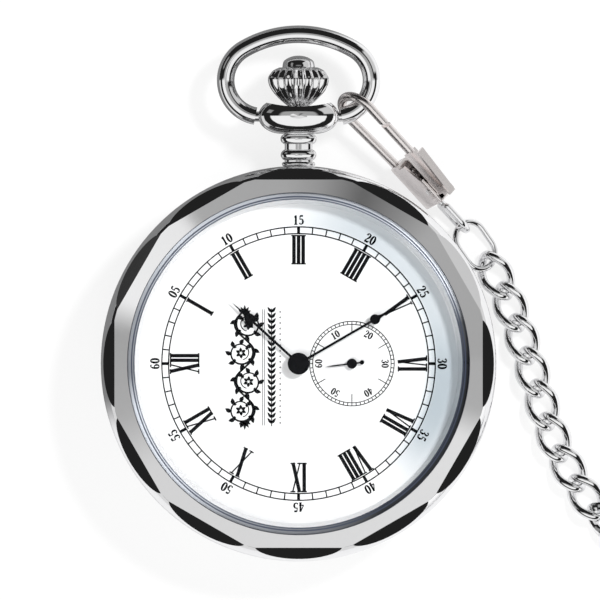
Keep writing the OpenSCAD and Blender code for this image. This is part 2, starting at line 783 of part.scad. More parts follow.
// Turns of the chain from link to link: how many links, and by how much each one turns
first_heading = -62;
turns_in_view = [[1, -7], [1, -3], [2, -1], [1, 6], [1, 8], [1, 4]];
turns_put_away = [[3, 56 / 3], [6, 0], [7, -180 / 7], [6, 0], [7, 180 / 7], [7, 0]];
turn_of_link = [0, for (row = concat(turns_in_view, turns_put_away), k = [1 : row[0]]) row[1]];
singles = 8;
link_count = singles + 3 * run_links;
function total(values, last, i = 0, sum = 0) = i > last ? sum : total(values, last, i + 1, sum + values[i]);
headings = [for (i = [0 : link_count - 1]) first_heading + total(turn_of_link, i)];
function towards(angle) = [cos(angle), sin(angle), 0];
steps_between = [[0, 0, 0], for (i = [1 : link_count - 1])
    pitch / 2 * (towards(headings[i - 1]) + towards(headings[i]))];
function walked(last, i = 0, sum = [0, 0, 0]) = i > last ? sum : walked(last, i + 1, sum + steps_between[i]);
link_places = [for (i = [0 : link_count - 1]) first_link + walked(i)];

// A curb link: an oval of wire whose two halves are twisted opposite ways, so that it lies flat
module curb_link(rings_round) {
    sides = 6;
    half_l = (link_l - link_wire) / 2;
    half_w = (link_w - link_wire) / 2;
    function on_link(t) = let (roll = link_twist * cos(t))
        [half_l * cos(t), half_w * sin(t) * cos(roll), half_w * sin(t) * sin(roll)];
    points = [for (i = [0 : rings_round - 1])
        let (t = 360 * i / rings_round,
             here = on_link(t),
             ahead = on_link(t + 2) - on_link(t - 2),
             along = ahead / norm(ahead),
             out = cross(along, cross([here[0] * 0.45, here[1], here[2]], along)),
             across = out / norm(out),
             up = cross(along, across))
        each ring_points(here, across, up, link_wire / 2 * 1.05, sides)];
    polyhedron(points, closed_tube(rings_round, sides));
}

module placed_link(i, rings_round) {
    translate(link_places[i]) rotate([0, 0, headings[i]]) curb_link(rings_round);
}

module single_link(number) {
    color(steel) placed_link(number - 1, 18);
}

module chain_run(number) {
    first = singles + (number - 1) * run_links;
    color(steel) for (i = [first : first + run_links - 1]) placed_link(i, 12);
}

last_link = link_places[link_count - 1];
bar_ring_at = last_link + [3.2, 0, 0.3];

module bar_ring() {
    color(steel) translate(bar_ring_at) rotate([35, 0, 0]) bar_arc(1.95, 0.7, 0, 360);
}

module end_bar() {
    bar_half = 9;
    bar_x = 4.1;
    color(steel) translate(bar_ring_at) {
        translate([2.1, 0, 0]) rotate([-55, 0, 0]) bar_arc(1.4, 0.7, 0, 360);
        translate([bar_x, 0, -0.45]) {
            rotate([90, 0, 0]) translate([0, 0, -bar_half]) cylinder(r = 0.75, h = 2 * bar_half);
            for (side = [-1, 1]) translate([0, side * bar_half, 0]) sphere(1.05);
            sphere(1.0);
        }
    }
}

case_middle();
bezel();
case_back();
crystal();
crystal_gasket();
back_gasket();
pendant();
crown();
winding_stem();
crown_gasket();
bow();
dial();
dial_ring();
hour_hand();
minute_hand();
seconds_hand();
movement_ring();
main_plate();
train_bridge();
bridge_screws();
battery();
battery_strap();
circuit_board();
quartz_can();
coil();
stator();
rotor();
fifth_wheel();
seconds_wheel();
third_wheel();
centre_wheel();
minute_wheel();
hour_wheel();
sliding_pinion();
setting_lever();
clasp_hook();
clasp_gate();
gate_pin();
gate_spring();
swivel_bail();
oval_ring();
single_link(1);  // link_01
single_link(2);  // link_02
single_link(3);  // link_03
single_link(4);  // link_04
single_link(5);  // link_05
single_link(6);  // link_06
single_link(7);  // link_07
single_link(8);  // link_08
chain_run(1);  // chain_run_1
chain_run(2);  // chain_run_2
chain_run(3);  // chain_run_3
bar_ring();
end_bar();
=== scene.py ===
import math

import bmesh
import bpy
from mathutils import Matrix, Vector


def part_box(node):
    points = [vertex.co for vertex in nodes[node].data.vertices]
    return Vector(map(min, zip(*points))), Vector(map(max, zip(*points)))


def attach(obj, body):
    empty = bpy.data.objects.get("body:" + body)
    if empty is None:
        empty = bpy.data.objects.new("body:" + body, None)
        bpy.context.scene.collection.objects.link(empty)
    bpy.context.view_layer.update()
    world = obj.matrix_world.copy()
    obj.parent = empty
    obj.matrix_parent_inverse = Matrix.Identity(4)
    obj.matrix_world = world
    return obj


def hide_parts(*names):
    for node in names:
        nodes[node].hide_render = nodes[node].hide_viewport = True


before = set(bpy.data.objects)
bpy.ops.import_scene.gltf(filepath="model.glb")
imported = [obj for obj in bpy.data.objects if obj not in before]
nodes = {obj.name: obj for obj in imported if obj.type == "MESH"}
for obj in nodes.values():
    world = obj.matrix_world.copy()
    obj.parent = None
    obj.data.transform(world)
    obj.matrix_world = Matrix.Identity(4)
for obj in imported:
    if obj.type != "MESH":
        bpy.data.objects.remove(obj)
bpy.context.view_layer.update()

# ---- camera ----
# A long lens straight above the dial, up towards the crown. Its frame is 71.3 mm wide at the dial,
# as in the photograph, and the distance keeps the pendant and the chain free of perspective.

MM = 0.001
frame_width = 71.32 * MM
sensor_width = 36
dial_height = 9 * MM
camera_height = 2.0
view_centre = Vector((0.17, 7.56, 0)) * MM

camera_data = bpy.data.cameras.new("camera")
camera_data.sensor_width = sensor_width
camera_data.lens = sensor_width * (camera_height - dial_height) / frame_width
camera_data.clip_start = 0.05
camera_data.clip_end = 10
camera = bpy.data.objects.new("camera", camera_data)
camera.location = view_centre + Vector((0, 0, camera_height))
bpy.context.scene.collection.objects.link(camera)
bpy.context.scene.camera = camera
bpy.context.scene.view_settings.view_transform = "Standard"


# ---- studio ----
# A light tent over a white table: pale panels overhead, black cards between them, which polished
# steel shows as its bands, and two soft lamps, not seen in the steel, that light what is painted.


def add_node(tree, kind, settings=None, sockets=None):
    """A node of one kind: its settings first, then the values or links of its sockets."""
    node = tree.nodes.new("ShaderNode" + kind)
    for name, value in (settings or {}).items():
        if name == "stops":
            ramp = node.color_ramp
            while len(ramp.elements) < len(value):
                ramp.elements.new(1)
            for element, (place, colour) in zip(ramp.elements, value):
                element.position = place
                element.color = (*colour, 1)
        else:
            setattr(node, name, value)
    for name, value in (sockets or {}).items():
        slot = node.inputs[name]
        if isinstance(value, Value):
            tree.links.new(value.socket, slot)
        elif isinstance(value, tuple) and slot.type == "RGBA":
            slot.default_value = (*value, 1)
        else:
            slot.default_value = value
    return node


class Value:
    """An output socket. Arithmetic on it adds Math nodes."""

    def __init__(self, tree, socket):
        self.tree, self.socket = tree, socket

    def operate(self, operation, *values):
        """A Math node on these values, in this one's tree."""
        node = add_node(self.tree, "Math", {"operation": operation}, dict(enumerate(values)))
        return Value(self.tree, node.outputs[0])

    def math(self, operation, *others):
        """A Math node with this value first."""
        return self.operate(operation, self, *others)

    def __add__(self, other):
        return self.operate("ADD", self, other)

    def __radd__(self, other):
        return self.operate("ADD", other, self)

    def __sub__(self, other):
        return self.operate("SUBTRACT", self, other)

    def __rsub__(self, other):
        return self.operate("SUBTRACT", other, self)

    def __mul__(self, other):
        return self.operate("MULTIPLY", self, other)

    def __rmul__(self, other):
        return self.operate("MULTIPLY", other, self)

    def __truediv__(self, other):
        return self.operate("DIVIDE", self, other)

    def __rtruediv__(self, other):
        return self.operate("DIVIDE", other, self)

    def rises(self, low, high):
        """0 below low, 1 above high, smooth between."""
        node = add_node(self.tree, "MapRange", {"interpolation_type": "SMOOTHSTEP"},
                        {"Value": self, "From Min": low, "From Max": high})
        return Value(self.tree, node.outputs[0])

    def falls(self, low, high):
        """1 below low, 0 above high, smooth between."""
        return 1 - self.rises(low, high)

    def between(self, low, high, soft):
        """1 from low to high, with soft sides."""
        return self.rises(low - soft, low + soft) * self.falls(high - soft, high + soft)


class Shader:
    """A material's or the world's node tree."""

    def __init__(self, owner):
        owner.use_nodes = True
        self.owner, self.tree = owner, owner.node_tree
        self.tree.nodes.clear()

    def node(self, kind, settings=None, sockets=None, output=0):
        """One output of a new node."""
        return Value(self.tree, add_node(self.tree, kind, settings, sockets).outputs[output])

    def mix(self, low, high, factor):
        """A colour between two colours, which are the node's sockets 6 and 7 and its output 2."""
        return self.node("Mix", {"data_type": "RGBA"}, {0: factor, 6: low, 7: high}, 2)

    def blend(self, low, high, factor):
        """A shader between two shaders."""
        return self.node("MixShader", None, {0: factor, 1: low, 2: high})

    def parts(self, vector):
        """A vector's x, y and z."""
        node = add_node(self.tree, "SeparateXYZ", None, {0: vector})
        return [Value(self.tree, slot) for slot in node.outputs]

    def place(self):
        """The point on the surface in millimetres, in the object's own frame."""
        here = self.node("TexCoord", output="Object")
        return self.node("VectorMath", {"operation": "SCALE"}, {0: here, "Scale": 1 / MM})

    def noise(self, scale, detail=3.0, rough=0.5, at=None):
        """A cloudy pattern, its scale for each millimetre."""
        sockets = {"Vector": at or self.place(), "Scale": scale, "Detail": detail, "Roughness": rough}
        return self.node("TexNoise", None, sockets)

    def bump(self, height, strength, distance):
        """A normal from a height, with the distance in millimetres."""
        return self.node("Bump", None, {"Height": height, "Strength": strength, "Distance": distance * MM})

    def finish(self, surface, kind="OutputMaterial"):
        """Puts the surface on and gives back the material or the world."""
        add_node(self.tree, kind, None, {"Surface": surface})
        return self.owner


def from_middle(x, y):
    return (x * x + y * y).math("SQRT")


def direction(x, y):
    """The way from the middle to x, y, from 0 to 1 of a turn."""
    turn = y.math("ARCTAN2", x) / (2 * math.pi)
    return turn + turn.math("LESS_THAN", 0)


world = bpy.data.worlds.new("light_tent")
bpy.context.scene.world = world
tent = Shader(world)
x, y, z = tent.parts(tent.node("TexCoord", output="Generated"))
# Where a ray meets a dome above the watch, laid flat: 0 overhead and about 1 at the horizon
pole = 1.02
across, along = x / (z + pole), y / (z + pole)
out = from_middle(across, along)
turn = direction(across, along)
panels = [(0.0, 0.40), (0.12, 0.42), (0.15, 0.27), (0.19, 0.13), (0.23, 0.32), (0.262, 0.40), (0.35, 0.42),
          (0.362, 0.86), (0.45, 0.92), (0.475, 0.38), (0.55, 0.44), (0.60, 0.70), (0.93, 0.80), (0.955, 0.44)]
overhead = tent.parts(tent.node("ValToRGB", {"stops": [(at, (v, v, v)) for at, v in panels]}, {0: turn}))[0]
near = out.falls(0.085, 0.10)
south = along.falls(0.0, 0.03)
north_strip = along.between(0.02, 0.15, 0.01) * out.falls(0.20, 0.26)
window = turn.between(0.035, 0.13, 0.008) * out.between(0.36, 0.74, 0.02)
small_window = turn.between(0.40, 0.45, 0.006) * out.between(0.42, 0.60, 0.02)
far_east = (turn.falls(0.15, 0.17) + turn.rises(0.86, 0.88)) * out.rises(0.72, 0.78)
south_panel = south * out.falls(0.40, 0.43)
south_wall = south * out.rises(0.70, 0.74)
card_black, brightest = 0.016, 1.05
tent_light = (card_black + south_panel * 0.92 + north_strip * 0.35 + south_wall * 0.72 + window * 0.60
              + small_window * 0.25 + far_east * 0.7)
tent_light = overhead * near + tent_light.math("MINIMUM", brightest) * (1 - near)
seen = tent.node("LightPath", output="Is Camera Ray")
level = seen + tent_light * (1 - seen)
tent_colour = tent.node("CombineColor", None, {0: level, 1: level, 2: level})
tent.finish(tent.node("Background", None, {"Color": tent_colour, "Strength": 1.0}), "OutputWorld")


def lamp(name, at, size, power):
    """A soft round lamp aimed at the dial, which the steel doesn't show."""
    data = bpy.data.lights.new(name, "AREA")
    data.shape = "DISK"
    data.size = size
    data.energy = power
    made = bpy.data.objects.new(name, data)
    made.location = at
    made.rotation_euler = (-Vector(at)).to_track_quat("-Z", "Y").to_euler()
    made.visible_glossy = False
    bpy.context.scene.collection.objects.link(made)


lamp("key_lamp", at=(0.26, 0.20, 0.46), size=0.10, power=2.7)
lamp("fill_lamp", at=(-0.25, -0.30, 0.75), size=0.8, power=4.4)

table_mesh = bpy.data.meshes.new("table")
half = 4.0
corners = [(-half, -half, 0), (half, -half, 0), (half, half, 0), (-half, half, 0)]
table_mesh.from_pydata(corners, [], [(0, 1, 2, 3)])
table = bpy.data.objects.new("table", table_mesh)
bpy.context.scene.collection.objects.link(table)
paper = Shader(bpy.data.materials.new("white_table"))
glossy = paper.node("LightPath", output="Is Glossy Ray")
lit = paper.node("BsdfDiffuse", None, {"Color": (0.9, 0.9, 0.9)})
white = paper.node("Emission", None, {"Color": (1, 1, 1), "Strength": 1.0})
# Painted reflection: a dark glow that only the steel sees, standing in for a card
painted_card_reflection = paper.node("Emission", None, {"Color": (0.05, 0.05, 0.05), "Strength": 1.0})
# Seen in the steel, the table is pale grey, partly glowing and partly lit, with a painted reflection of a
# dark card up and to the left of the watch
fx, fy, _ = paper.parts(paper.place())
far = from_middle(fx, fy)
painted_card_way, painted_card_near, painted_card_far = math.radians(137), 23.5, 600.0
side = (fx * math.cos(painted_card_way) + fy * math.sin(painted_card_way)) / far
painted_card_mask = side.rises(0.42, 0.62) * far.between(painted_card_near, painted_card_far, 1.5) * 0.80
shown_white = paper.blend(lit, white, 0.80)
grey = paper.node("Emission", None, {"Color": (0.74, 0.74, 0.75), "Strength": 1.0})
mirrored = paper.blend(paper.blend(grey, lit, 0.35), painted_card_reflection, painted_card_mask)
table_mesh.materials.append(paper.finish(paper.blend(shown_white, mirrored, glossy)))


# ---- case: band, bezel and back ----
# Turned and polished stainless steel, rhodium bright. The bezel's twelve outer facets are ground
# flat, its front ring is very slightly domed, and the back is satin under the snap lip.

steel_tint = (0.93, 0.93, 0.935)


def polished(name, tint=steel_tint, rough=0.035, domed=0.0, steep=1.0):
    """Mirror steel with wiping marks.

    domed tips the normals of a level face outwards, and a steep below 1 calms those of a tight curve.
    """
    metal = Shader(bpy.data.materials.new(name))
    marks = metal.noise(1.6, 5.0)
    tone = metal.mix(tuple(c * 0.97 for c in tint), tint, marks)
    sockets = {"Base Color": tone, "Metallic": 1.0, "Roughness": rough * 0.6 + marks * (rough * 0.8)}
    fine = metal.noise(14.0, 2.0)
    normal = metal.bump(fine, strength=0.05, distance=0.004)
    if domed:
        px, py, _ = metal.parts(metal.place())
        level_face = metal.parts(metal.node("NewGeometry", output="Normal"))[2].rises(0.995, 0.999)
        lean = level_face * domed / from_middle(px, py)
        tip = metal.node("CombineXYZ", None, {0: px * lean, 1: py * lean, 2: 0.0})
        tilted = metal.node("VectorMath", {"operation": "ADD"}, {0: normal, 1: tip})
        normal = metal.node("VectorMath", {"operation": "NORMALIZE"}, {0: tilted})
    if steep < 1:
        calmed = metal.node("VectorMath", {"operation": "MULTIPLY"}, {0: normal, 1: (steep, steep, 1.0)})
        normal = metal.node("VectorMath", {"operation": "NORMALIZE"}, {0: calmed})
    sockets["Normal"] = normal
    return metal.finish(metal.node("BsdfPrincipled", None, sockets))


def dress(node, material):
    """Gives one of the solids its finish."""
    nodes[node].data.materials[0] = material


mirror_steel = polished("polished_steel")
bezel_steel = polished("bezel_steel", domed=0.06)
satin = Shader(bpy.data.materials.new("satin_steel"))
lathe_marks = satin.node("TexWave", {"wave_type": "RINGS", "rings_direction": "Z"},
                         {"Vector": satin.place(), "Scale": 6.0, "Distortion": 0.6, "Detail": 3.0})
satin_steel = satin.finish(satin.node("BsdfPrincipled", None, {
    "Base Color": satin.mix((0.62, 0.62, 0.63), (0.72, 0.72, 0.73), lathe_marks), "Metallic": 1.0,
    "Roughness": 0.24 + lathe_marks * 0.08, "Normal": satin.bump(lathe_marks, 0.15, 0.01)}))

dress("bezel", bezel_steel)
dress("case_middle", mirror_steel)
dress("case_back", satin_steel)


# ---- crystal and gaskets ----
# A mineral glass, slightly domed, with a bevelled edge whose colour is a painted reflection of the gasket and
# the bezel in fine blue-grey lines. A grey-blue tint in the glass is painted shade, darker towards the
# right-hand rim.

glass = Shader(bpy.data.materials.new("mineral_glass"))
gx, gy, _ = glass.parts(glass.place())
reach = from_middle(gx, gy)
heading = direction(gx, gy)
clear = glass.node("BsdfTransparent", None, {"Color": (0.996, 0.998, 1.0)})
shine = glass.node("BsdfGlossy", None, {"Color": (0.13, 0.135, 0.15), "Roughness": 0.02})
# The glass mirrors very little head on, and more of it the flatter it is seen
facing = glass.node("LayerWeight", None, {"Blend": 0.5}, output="Facing")
head_on, at_the_flattest = 0.04, 0.6
body = glass.blend(clear, shine, head_on + facing.math("POWER", 5) * at_the_flattest)
# The bevel's colour is a painted reflection: dark and pale sides of the tent in turn, by direction, between
# three fine painted dark lines
painted_bevel_reflection = [(0.0, 0.012), (0.04, 0.08), (0.08, 0.82), (0.13, 0.85), (0.17, 0.50), (0.25, 0.30),
                  (0.29, 0.42), (0.335, 0.48), (0.375, 0.62), (0.45, 0.34), (0.51, 0.26), (0.545, 0.85),
                  (0.625, 0.80), (0.68, 0.34), (0.78, 0.16), (0.83, 0.03), (0.96, 0.02)]
bluish_painted_reflection = [(at, (v * 0.93, v * 0.98, v * 1.06)) for at, v in painted_bevel_reflection]
painted_reflection_tone = glass.node("ValToRGB", {"stops": bluish_painted_reflection}, {0: heading})
line_soft = 0.03
# Painted reflection: three fine dark lines, as of the gasket and the bezel mirrored in the bevel
painted_reflection_lines = (reach.between(19.50, 19.62, line_soft) + reach.between(19.74, 19.92, line_soft)
              + reach.between(20.27, 20.4, line_soft))
painted_reflection_tone = glass.mix(painted_reflection_tone, (0.05, 0.06, 0.09), painted_reflection_lines * 0.92)
edge = glass.node("BsdfPrincipled", None,
                  {"Base Color": painted_reflection_tone, "Specular IOR Level": 0.1, "Roughness": 0.3})
bevel = reach.rises(19.44, 19.50) * 0.92
# Painted shade, carried by the glass's tint: by the direction from the right-hand side, with a clear streak
# along the bevel where it leaves off
from_right = heading - heading.math("GREATER_THAN", 0.6)
sweep = from_right.between(-0.10, 0.235, 0.055)
low_right = from_right.between(-0.12, 0.03, 0.04)
clear_streak = from_right.between(0.02, 0.145, 0.02) * reach.between(18.85, 19.40, 0.06)
painted_shade_mask = (sweep * (reach.rises(15.2, 16.8) * 0.62 - reach.rises(17.8, 18.7) * 0.20)
             + low_right * reach.rises(14.6, 16.6) * 0.26) * (1 - clear_streak)
# Painted shade: a grey-blue tint that darkens the dial seen through it
painted_shade_tint = glass.node("BsdfTransparent", None, {"Color": (0.75, 0.78, 0.80)})
body = glass.blend(body, painted_shade_tint, painted_shade_mask)
dress("crystal", glass.finish(glass.blend(body, edge, bevel)))


def plain(name, colour, rough, metal=0.0):
    """A moulded, painted or plated finish with a fine grain in its tone and surface."""
    made = Shader(bpy.data.materials.new(name))
    speck = made.noise(30.0, 4.0)
    return made.finish(made.node("BsdfPrincipled", None, {
        "Base Color": made.mix(tuple(c * 0.9 for c in colour), colour, speck), "Metallic": metal,
        "Roughness": rough * 0.85 + speck * (rough * 0.3), "Normal": made.bump(speck, 0.2, 0.004)}))


dress("crystal_gasket", plain("gasket_nylon", (0.86, 0.87, 0.88), 0.4))
dress("back_gasket", plain("gasket_rubber", (0.03, 0.03, 0.03), 0.6))


# ---- dial ----
# A brass blank under white enamel paint, with a sunk seconds circle and a bright inner flange. The
# print is black ink from a pad, laid a hundredth of a millimetre proud.

enamel = Shader(bpy.data.materials.new("white_enamel"))
mottle = enamel.noise(2.2, 3.0)
orange_peel = enamel.noise(9.0, 2.0)
enamel_paint = enamel.finish(enamel.node("BsdfPrincipled", None, {
    "Base Color": enamel.mix((0.93, 0.93, 0.93), (0.955, 0.955, 0.95), mottle),
    "Roughness": 0.34 + mottle * 0.06, "Coat Weight": 0.3, "Coat Roughness": 0.1,
    "Normal": enamel.bump(orange_peel, 0.06, 0.004)}))
dress("dial", enamel_paint)
dress("dial_ring", plain("flange_white", (0.97, 0.97, 0.98), 0.25))

dial_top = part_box("dial")[1].z / MM
sunk_top = dial_top - 0.15
ink_thick, ink_sunk = 0.012, 0.002
seconds_at = (6.34, 0)


class Print:
    """Flat ink marks: bars, strokes and rings, each a thin closed prism."""

    def __init__(self):
        self.points, self.faces = [], []

    def slab(self, outline, base):
        """A prism over an outline given counter-clockwise or clockwise, in dial millimetres."""
        area = sum(a[0] * b[1] - b[0] * a[1] for a, b in zip(outline, outline[1:] + outline[:1]))
        if area < 0:
            outline = outline[::-1]
        n, start = len(outline), len(self.points)
        for height in (base - ink_sunk, base + ink_thick):
            self.points += [(p[0] * MM, p[1] * MM, height * MM) for p in outline]
        low, high = range(start, start + n), range(start + n, start + 2 * n)
        self.faces += [list(reversed(low)), list(high)]
        self.faces += [[low[k], low[(k + 1) % n], high[(k + 1) % n], high[k]] for k in range(n)]

    def stroke(self, line, widths, move, base):
        """A pen stroke along a line, with a width at each point, put down by move()."""
        if not isinstance(widths, (list, tuple)):
            widths = [widths] * len(line)
        left, right = [], []
        for i, point in enumerate(line):
            before, after = line[max(i - 1, 0)], line[min(i + 1, len(line) - 1)]
            dx, dy = after[0] - before[0], after[1] - before[1]
            size = math.hypot(dx, dy) or 1
            off = widths[i] / 2 / size
            left.append(move((point[0] - dy * off, point[1] + dx * off)))
            right.append(move((point[0] + dy * off, point[1] - dx * off)))
        for i in range(len(line) - 1):
            self.slab([left[i], left[i + 1], right[i + 1], right[i]], base)

    def ring(self, centre, radius, wide, base, steps=180):
        """A closed circle of a line."""
        angles = [2 * math.pi * k / steps for k in range(steps)]
        around = [(math.cos(a), math.sin(a)) for a in angles]
        start = len(self.points)
        for r in (radius - wide / 2, radius + wide / 2):
            for height in (base - ink_sunk, base + ink_thick):
                self.points += [(MM * (centre[0] + c * r), MM * (centre[1] + s * r), MM * height)
                                for c, s in around]
        inner_low, inner_high, outer_low, outer_high = (start + i * steps for i in range(4))
        rounds = [inner_low, inner_high, outer_high, outer_low, inner_low]
        for k in range(steps):
            n = (k + 1) % steps
            self.faces += [[a + n, a + k, b + k, b + n] for a, b in zip(rounds, rounds[1:])]

    def made(self, name):
        mesh = bpy.data.meshes.new(name)
        mesh.from_pydata(self.points, [], self.faces)
        mesh.materials.append(ink)
        piece = bpy.data.objects.new(name, mesh)
        bpy.context.scene.collection.objects.link(piece)
        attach(piece, "case")


def on_dial(angle, radius, centre=(0, 0), size=1.0):
    """Puts local x to the reader's right and y outwards, at an angle and radius on the dial."""
    c, s = math.cos(math.radians(angle)), math.sin(math.radians(angle))

    def move(point):
        px, py = point[0] * size, point[1] * size + radius
        return (centre[0] + c * py + s * px, centre[1] + s * py - c * px)

    return move


pad_ink = Shader(bpy.data.materials.new("dial_ink"))
speckle = pad_ink.noise(60.0, 3.0)
ink = pad_ink.finish(pad_ink.node("BsdfPrincipled", None, {
    "Base Color": pad_ink.mix((0.001, 0.001, 0.001), (0.003, 0.003, 0.004), speckle),
    "Roughness": 0.55 + speckle * 0.1, "Specular IOR Level": 0.15}))

# Minute track
track = Print()
track_in, track_out, track_line, bold_line = 15.45, 16.25, 0.155, 0.36
for radius in (track_in, track_out):
    track.ring((0, 0), radius, track_line, dial_top)
for minute in range(60):
    move = on_dial(180 - 6 * minute, 0)
    width = track_line if minute % 5 else bold_line
    track.stroke([(0, track_in), (0, track_out)], width, move, dial_top)
track.made("minute_track")

# Hour numerals, 3.5 mm tall, feet towards the centre
numeral_low, numeral_high = 11.78, 15.30
stem, hair, gap = 0.43, 0.17, 0.55


def numeral(letters):
    """The strokes of a roman numeral, centred on x = 0, as (line, width) pairs."""
    tall = numeral_high - numeral_low
    wide = {"I": stem, "V": 1.16, "X": 1.22}
    total = sum(wide[c] for c in letters) + (gap - stem) * (len(letters) - 1)
    strokes, at = [], -total / 2
    for c in letters:
        w, serif = wide[c], 0.10
        if c == "I":
            strokes.append(([(at + w / 2, 0), (at + w / 2, tall)], stem))
            strokes += [([(at - serif, h), (at + w + serif, h)], hair) for h in (hair / 2, tall - hair / 2)]
        elif c == "V":
            strokes.append(([(at + w * 0.56, 0), (at + stem * 0.6, tall)], stem))
            strokes.append(([(at + w * 0.56, 0), (at + w - 0.12, tall)], hair))
            strokes += [([(at - 0.12, tall - hair / 2), (at + stem + 0.14, tall - hair / 2)], hair),
                        ([(at + w - 0.34, tall - hair / 2), (at + w + 0.08, tall - hair / 2)], hair)]
        else:
            strokes.append(([(at + w - stem * 0.5, 0), (at + stem * 0.5, tall)], stem))
            strokes.append(([(at + stem * 0.4, 0), (at + w - stem * 0.4, tall)], hair))
            for h in (hair / 2, tall - hair / 2):
                strokes += [([(at - 0.08, h), (at + 0.50, h)], hair),
                            ([(at + w - 0.50, h), (at + w + 0.08, h)], hair)]
        at += w + gap - stem
    return strokes


hours = Print()
roman = ["I", "II", "III", "IIII", "V", "VI", "VII", "VIII", "IX", "X", "XI", "XII"]
for hour, letters in enumerate(roman, 1):
    move = on_dial(180 - 30 * hour, numeral_low)
    for line, width in numeral(letters):
        hours.stroke(line, width, move, dial_top)
hours.made("hour_numerals")

# Figures for the minutes and seconds, drawn in a box 0.52 wide and 1 tall with thick and thin strokes
tenths = [k * math.pi / 10 for k in range(21)]
oval = [(0.26 + 0.19 * math.sin(a), 0.5 + 0.455 * math.cos(a)) for a in tenths]
figures = {
    "0": [(oval, [0.055 + 0.09 * abs(math.sin(a)) for a in tenths])],
    "1": [([(0.27, 0.02), (0.27, 0.98)], 0.13), ([(0.10, 0.78), (0.19, 0.84), (0.27, 0.97)], 0.06),
          ([(0.10, 0.03), (0.44, 0.03)], 0.06)],
    "2": [([(0.09, 0.70), (0.10, 0.84), (0.18, 0.94), (0.30, 0.95), (0.41, 0.86), (0.42, 0.68), (0.33, 0.48),
            (0.19, 0.28), (0.08, 0.08)], [0.13, 0.10, 0.06, 0.06, 0.12, 0.14, 0.11, 0.06, 0.05]),
          ([(0.05, 0.07), (0.45, 0.07)], 0.13), ([(0.45, 0.02), (0.47, 0.24)], 0.05)],
    "3": [([(0.09, 0.78), (0.12, 0.90), (0.25, 0.96), (0.38, 0.88), (0.40, 0.72), (0.31, 0.57), (0.19, 0.53)],
           [0.12, 0.08, 0.06, 0.11, 0.13, 0.08, 0.05]),
          ([(0.19, 0.53), (0.34, 0.50), (0.43, 0.34), (0.41, 0.14), (0.27, 0.03), (0.13, 0.07), (0.07, 0.20)],
           [0.05, 0.08, 0.14, 0.12, 0.06, 0.07, 0.12])],
    "4": [([(0.35, 0.98), (0.03, 0.28)], 0.055), ([(0.02, 0.28), (0.50, 0.28)], 0.07),
          ([(0.36, 0.98), (0.36, 0.02)], 0.13), ([(0.22, 0.03), (0.50, 0.03)], 0.055)],
    "5": [([(0.12, 0.92), (0.43, 0.93)], 0.12), ([(0.12, 0.95), (0.10, 0.53)], 0.05),
          ([(0.10, 0.53), (0.22, 0.60), (0.35, 0.55), (0.43, 0.37), (0.39, 0.14), (0.25, 0.04), (0.12, 0.07),
            (0.07, 0.19)], [0.05, 0.06, 0.09, 0.14, 0.12, 0.06, 0.07, 0.12])],
    "6": [([(0.42, 0.84), (0.35, 0.95), (0.24, 0.94), (0.13, 0.78), (0.08, 0.50), (0.11, 0.20), (0.20, 0.06),
            (0.31, 0.05), (0.41, 0.17), (0.43, 0.34), (0.36, 0.52), (0.25, 0.57), (0.14, 0.50), (0.09, 0.38)],
           [0.10, 0.07, 0.06, 0.10, 0.14, 0.13, 0.08, 0.06, 0.11, 0.13, 0.08, 0.05, 0.05, 0.05])],
}


def write_number(sheet, text, angle, radius, tall, centre, base):
    """A number with its middle at a radius, feet towards the centre, a little bolder than drawn."""
    step, width = 0.60, 0.52
    left = -((len(text) - 1) * step + width) / 2
    move = on_dial(angle, radius - tall / 2, centre, tall)
    for i, digit in enumerate(text):
        for line, widths in figures[digit]:
            moved = [(p[0] + left + i * step, p[1]) for p in line]
            widths = widths if isinstance(widths, list) else [widths] * len(line)
            sheet.stroke(moved, [wide * 1.35 + 0.035 for wide in widths], move, base)


minutes = Print()
minute_radius, minute_tall = 17.08, 1.12
for five in range(1, 13):
    write_number(minutes, f"{5 * five:02d}", 180 - 30 * five, minute_radius, minute_tall, (0, 0), dial_top)
minutes.made("minute_figures")

# Seconds circle
seconds = Print()
seconds_in, seconds_out, seconds_line, long_from = 4.66, 5.02, 0.105, 3.62
ten_radius, ten_tall = 3.95, 0.86
for radius in (seconds_in, seconds_out):
    seconds.ring(seconds_at, radius, seconds_line, sunk_top, 120)
for second in range(60):
    move = on_dial(180 - 6 * second, 0, seconds_at)
    tick_from = long_from if second % 10 == 5 else seconds_in
    seconds.stroke([(0, tick_from), (0, seconds_out)], seconds_line, move, sunk_top)
for ten in range(1, 7):
    write_number(seconds, str(10 * ten), 180 - 60 * ten, ten_radius, ten_tall, seconds_at, sunk_top)
seconds.made("seconds_print")

# The left of the dial: a foliate panel in black line, a scrolling stem with a flower in each scroll
# beside a strip of laurel
panel = Print()
panel_at = (-5.65, -0.45)


def on_panel(point):
    return (panel_at[0] + point[0], panel_at[1] + point[1])


def leaf(base, angle, length, wide):
    """A pointed leaf."""
    c, s = math.cos(angle), math.sin(angle)
    margin = [(0.25, 0.42), (0.5, 0.5), (0.78, 0.28)]
    shape = [(0, 0)] + margin + [(1, 0)] + [(u, -v) for u, v in reversed(margin)]
    panel.slab([on_panel((base[0] + length * u * c - wide * v * s, base[1] + length * u * s + wide * v * c))
                for u, v in shape], dial_top)


